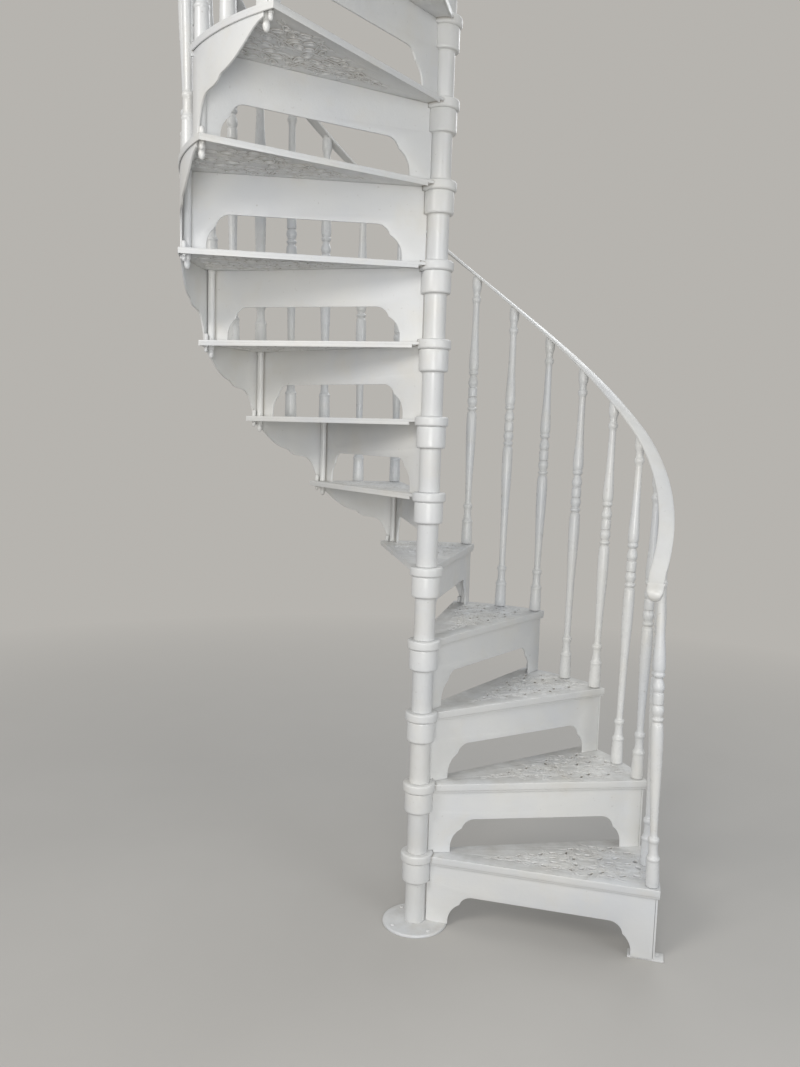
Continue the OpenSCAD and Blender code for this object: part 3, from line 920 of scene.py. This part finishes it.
# The rolled end: degrees from the tip, share of the width, crown, share of the drop, lowering
ROLLED_END = [(0, 0.16, 0.8, 0.1, 13.6), (0.03, 0.34, 1.8, 0.2, 12.8), (0.12, 0.56, 4, 0.35, 11),
              (0.24, 0.7, 5.4, 0.47, 9.4), (0.42, 0.82, 6.6, 0.6, 7.2), (0.68, 0.91, 7, 0.74, 5),
              (1, 0.97, 6.6, 0.87, 3), (1.4, 1, 6, 0.96, 1.4), (1.85, 1, 5.2, 1, 0.6),
              (2.2, 0.995, 4.8, 0.94, 0.2), (2.42, 0.99, 4.6, 0.85, 0), (2.48, 1.05, 4.7, 0.82, 0),
              (2.58, 1.09, 4.8, 0.76, 0), (2.74, 1.095, 4.8, 0.66, 0), (2.86, 1.05, 4.7, 0.56, 0),
              (2.92, 0.98, 4.2, 0.47, 0), (3.02, 0.965, 4, 0.34, 0), (3.14, 0.96, 4, 0.2, 0),
              (3.26, 0.96, 4, 0.08, 0), (3.36, 0.96, 4, 0, 0), (4.2, 0.98, 4, 0, 0), (5.2, 1, 4, 0, 0)]
# The top end: degrees past the last full section, share of the width, crown
TOP_END = [(0.3, 0.95, 4), (0.55, 0.84, 3.9), (0.75, 0.66, 3.6), (0.88, 0.42, 3.2), (0.92, 0.2, 2.8)]
RAIL_PLAIN_A = RAIL_START + 6.2
RAIL_TOP_A = 274.2
RAIL_PARTS = 190


def handrail():
    """The sweep from the rolled end up to the top end."""
    rings = []
    for turn, share, crown, belly, drop in ROLLED_END:
        rings.append(rail_ring(RAIL_START + turn, rail_section(share, crown, belly * KNOB_DROP, drop)))
    for i in range(RAIL_PARTS + 1):
        a = RAIL_PLAIN_A + (RAIL_TOP_A - RAIL_PLAIN_A) * i / RAIL_PARTS
        rings.append(rail_ring(a, rail_section()))
    for turn, share, crown in TOP_END:
        rings.append(rail_ring(RAIL_TOP_A + turn, rail_section(share, crown)))
    return skin(rings, caps=True)


piece("handrail_sweep", handrail(), FLOOR_FRAME, RAIL_PAINT, ["handrail"], sharp=50)


# Hub and base


def sleeve(z0, z1):
    """A sleeve with its collar at the head."""
    head = z1 - COLLAR_H
    profile = [(BORE_R, z0), (SLEEVE_R, z0), (SLEEVE_R, head - 2), (SLEEVE_R + 3, head),
               (COLLAR_R - 3, head), (COLLAR_R - 0.4, head + 3), (COLLAR_R, head + 8),
               (COLLAR_R, z1 - 4), (COLLAR_R - 1.2, z1), (BORE_R, z1)]
    return lathe(softened(profile, 1.8, loop=True), 40, loop=True)


sleeves = [sleeve(BASE_T if k == 1 else (k - 1) * RISE + EYE_UP, k * RISE - EYE_DOWN)
           for k in range(1, N_STEPS + 2)]
piece("hub_sleeve_set", joined(*sleeves), FLOOR_FRAME, CASTING_PAINT, ["hub_sleeves"])

NEWEL_TOP = TOP_Z + GUARD_H + 30
piece("newel_casting", sleeve(TOP_Z + EYE_UP, NEWEL_TOP), FLOOR_FRAME, CASTING_PAINT, ["newel_sleeve"])

knob = [(0, 10), (BORE_R, 10), (BORE_R, 0), (41, 0), (44.6, 3), (45, 6), (44, 8.6), (36, 11.6),
        (26, 16), (20, 20), (17.4, 25), (18.4, 29), (22, 32), (27, 35), (32, 42), (35, 50), (35.8, 58),
        (34.6, 67), (31, 75), (25, 81), (17, 85.6), (9, 88.2), (0, 89)]
finial = shifted(lathe(softened(knob, 2), 40), 0, 0, NEWEL_TOP)
piece("newel_finial_ball", finial, FLOOR_FRAME, TURNED_PAINT, ["newel_finial"])

disc = [(0, 0), (BASE_R, 0), (BASE_R, 3), (BASE_R - 0.8, 5.6), (BASE_R - 3, 7.6), (BASE_R - 6, BASE_T),
        (SLEEVE_R + 5, BASE_T), (SLEEVE_R + 0.6, BASE_T), (0, BASE_T)]
base_screws = []
for a in (45, 135, 225, 315):
    base_screws.append(turned_by(shifted(screw_head(6.5, 3), BASE_BOLTS_R, 0, BASE_T), a))
base = joined(lathe(softened(disc, 1.2), 96), *base_screws)
piece("base_disc", base, FLOOR_FRAME, CASTING_PAINT, ["base_plate"])


# Landing and guard


BORDER_AT = 676
BORDER_FRONT = 13
BORDER_SIDE = 60


def border(a, b):
    """A fine raised line from a to b."""
    n = 20
    line = [(a[0] + (b[0] - a[0]) * i / n, a[1] + (b[1] - a[1]) * i / n) for i in range(n + 1)]
    return bead(line, 3.6, 0.8, 0)


def landing():
    holes = []
    veins = []
    for i in range(4):
        holes += piercing((i + 0.5) * STEP, False)
        veins.append(relief((i + 0.5) * STEP, False))
    outline = [(-HUB_LAP, -NOSING), (LANDING, -NOSING), (LANDING, LANDING), (-HUB_LAP, LANDING)]
    back_rim = box(-HUB_LAP + INSIDE, -HUB_LAP + RIM_T, -NOSING + 2 * INSIDE, LANDING - 2 * INSIDE,
                   -RIM_H, -PLATE_T + 1)
    return joined(
        plate(outline, holes, -PLATE_T, 0),
        *veins,
        bar(NOSE, COLLAR_R + 1, LANDING - 2 * INSIDE),
        bevelled(back_rim, 0.8),
        eye(),
        border((BORDER_AT, BORDER_FRONT), (BORDER_AT, BORDER_AT)),
        border((BORDER_AT, BORDER_AT), (BORDER_SIDE, BORDER_AT)),
    )


piece("landing_casting", landing(), place(N_STEPS + 1), TREAD_PAINT, ["landing"])


def hex_head(r, h):
    """A hexagon bolt head on its washer, standing along z."""
    washer = lathe([(0, 0), (1.35 * r, 0), (1.35 * r, 1.6), (0, 1.6)], 24)
    return joined(bevelled(hexagon(r, 1.5, h), 0.7), washer)


def edge_bars():
    """The two bars under the landing's outer edges, with their bolt heads."""
    low = -PLATE_T - ANGLE_H
    face = LANDING - ANGLE_T
    edge = LANDING - INSIDE
    bars = [bevelled(box(face, edge, ANGLE_GAP, face - ANGLE_GAP, low, -PLATE_T), 0.9),
            bevelled(box(RIM_T + ANGLE_GAP - HUB_LAP, edge, face, edge, low, -PLATE_T), 0.9)]
    bolt_z = low / 2 - 6
    inward_x = moved(hex_head(9, 8), Matrix.Rotation(math.radians(-90), 4, "Y"))
    inward_y = moved(hex_head(9, 8), Matrix.Rotation(math.radians(90), 4, "X"))
    for d in (120, LANDING - 120):
        bars.append(shifted(inward_x, face, d, bolt_z))
        bars.append(shifted(inward_y, d, face, bolt_z))
    return joined(*bars)


piece("landing_edge_bars", edge_bars(), place(N_STEPS + 1), CASTING_PAINT, ["landing_angles"])

guard = []
for i in range(5):
    post = baluster(KNUCKLE_FRONT, GUARD_H - RAIL_EDGE / 2 + SEAT)
    guard.append(shifted(post, 0, GUARD_FIRST + i * (GUARD_LAST - GUARD_FIRST) / 4, 0))
piece("landing_baluster_set", joined(*guard), place(N_STEPS + 1), TURNED_PAINT, ["landing_balusters"])


def guard_rail():
    """The flat bar from the newel out, with a round end."""
    start = COLLAR_R - 4
    straight_end = LANDING - 2
    rows = [(start, rail_section()), (straight_end, rail_section())]
    for t in range(10, 90, 10):
        share = math.cos(math.radians(t))
        crown = RAIL_CROWN * (0.6 + 0.4 * share)
        rows.append((straight_end + 21 * math.sin(math.radians(t)), rail_section(share, crown)))
    return skin([[(u, y, GUARD_H + v) for u, v in section] for y, section in rows], caps=True)


piece("landing_rail_bar", guard_rail(), place(N_STEPS + 1), RAIL_PAINT, ["landing_rail"])

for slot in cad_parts["centre_pole"].material_slots:
    slot.material = CASTING_PAINT


# Floor, light and camera


BACKDROP = (0.470, 0.455, 0.428)
FLOOR_TONE = (0.545, 0.528, 0.498)
BOUNCE_TONE = (0.200, 0.190, 0.178)
FLOOR_HALF = 14
AMBIENT = (0.93, 0.96, 1.0)
AMBIENT_LEVEL = 0.42


def seen_directly(tree):
    """A value of 1 where the camera, a reflection or a clear piece sees the surface."""
    rays = tree.nodes.new("ShaderNodeLightPath")
    value = rays.outputs["Is Camera Ray"]
    for ray in ("Is Glossy Ray", "Is Transmission Ray"):
        larger = tree.nodes.new("ShaderNodeMath")
        larger.operation = "MAXIMUM"
        tree.links.new(value, larger.inputs[0])
        tree.links.new(rays.outputs[ray], larger.inputs[1])
        value = larger.outputs[0]
    return value


def floor_material():
    """A pale matt floor that runs out into the backdrop."""
    g = Graph("floor_paint")
    seen = seen_directly(g.tree)
    darker = tuple(c * 0.97 for c in FLOOR_TONE)
    shown = g.blend(g.span(g.noise(1.7), 0.35, 0.7, 0, 1), FLOOR_TONE, darker)
    g.link(g.blend(seen, BOUNCE_TONE, shown), g.shader.inputs["Base Color"])
    g.shader.inputs["Roughness"].default_value = 0.8
    reach = g.add("ShaderNodeVectorMath", operation="LENGTH")
    g.link(g.coords, reach.inputs[0])
    faded = g.span(reach.outputs["Value"], 1.3, 4.6, 0, 1)
    glow = g.add("ShaderNodeEmission")
    glow.inputs["Color"].default_value = BACKDROP + (1,)
    mix = g.add("ShaderNodeMixShader")
    g.link(g.math("MULTIPLY", faded, seen), mix.inputs["Fac"])
    g.link(g.shader.outputs[0], mix.inputs[1])
    g.link(glow.outputs[0], mix.inputs[2])
    g.link(mix.outputs[0], g.tree.nodes["Material Output"].inputs["Surface"])
    return g.material


floor_mesh = bpy.data.meshes.new("floor")
corners = [(-FLOOR_HALF, -FLOOR_HALF, 0), (FLOOR_HALF, -FLOOR_HALF, 0),
           (FLOOR_HALF, FLOOR_HALF, 0), (-FLOOR_HALF, FLOOR_HALF, 0)]
floor_mesh.from_pydata(corners, [], [(0, 1, 2, 3)])
floor_mesh.materials.append(floor_material())
floor = bpy.data.objects.new("floor", floor_mesh)
bpy.context.scene.collection.objects.link(floor)

world = bpy.data.worlds.new("studio")
bpy.context.scene.world = world
world.use_nodes = True
tree = world.node_tree
ambient = tree.nodes["Background"]
ambient.inputs["Color"].default_value = AMBIENT + (1,)
ambient.inputs["Strength"].default_value = AMBIENT_LEVEL
backdrop = tree.nodes.new("ShaderNodeBackground")
backdrop.inputs["Color"].default_value = BACKDROP + (1,)
choose = tree.nodes.new("ShaderNodeMixShader")
tree.links.new(seen_directly(tree), choose.inputs["Fac"])
tree.links.new(ambient.outputs[0], choose.inputs[1])
tree.links.new(backdrop.outputs[0], choose.inputs[2])
tree.links.new(choose.outputs[0], tree.nodes["World Output"].inputs["Surface"])


def area_light(name, place_at, aim, size, power, colour):
    data = bpy.data.lights.new(name, "AREA")
    data.shape = "DISK"
    data.size = size
    data.energy = power
    data.color = colour
    lamp = bpy.data.objects.new(name, data)
    bpy.context.scene.collection.objects.link(lamp)
    lamp.location = place_at
    lamp.rotation_euler = (Vector(aim) - Vector(place_at)).to_track_quat("-Z", "Y").to_euler()


area_light("key", (-1.8, -3.6, 3.4), (0.1, 0, 1.3), 1.8, 70, (1.0, 0.97, 0.93))
area_light("front", (0.7, -3.4, 1.35), (0, 0, 1.5), 1.6, 48, (1.0, 0.985, 0.96))
area_light("fill", (3.6, -2.2, 2.2), (0, 0, 1.4), 2.2, 30, (0.93, 0.96, 1.0))
area_light("back", (0.6, 3.6, 4.2), (0, 0, 1.6), 2.6, 44, (0.96, 0.98, 1.0))

# The camera stands at eye height on the stair's open side: metres, radians and the picture's pixels
CAMERA_DISTANCE = 2.5883
CAMERA_HEIGHT = 1.4295
FOCAL_PIXELS = 923.5
IMAGE_HEIGHT = 1067
YAW = -0.0301
DOWN = 0.108
ROLL = 0.0309
TURN = math.radians(13.13)

forward = Vector((math.sin(YAW) * math.cos(DOWN), math.cos(YAW) * math.cos(DOWN), -math.sin(DOWN)))
right = Vector((math.cos(YAW), -math.sin(YAW), 0))
up = right.cross(forward)
rolled_right = math.cos(ROLL) * right + math.sin(ROLL) * up
rolled_up = -math.sin(ROLL) * right + math.cos(ROLL) * up
aim = Matrix((rolled_right, rolled_up, -forward)).transposed().to_4x4()
aim.translation = Vector((0, -CAMERA_DISTANCE, CAMERA_HEIGHT))
camera_data = bpy.data.cameras.new("camera")
camera = bpy.data.objects.new("camera", camera_data)
bpy.context.scene.collection.objects.link(camera)
camera.matrix_world = Matrix.Rotation(TURN, 4, "Z") @ aim
camera_data.sensor_fit = "AUTO"
camera_data.sensor_width = 36
camera_data.lens = FOCAL_PIXELS / IMAGE_HEIGHT * 36
camera_data.clip_start = 0.05
bpy.context.scene.camera = camera
bpy.context.scene.view_settings.view_transform = "Standard"
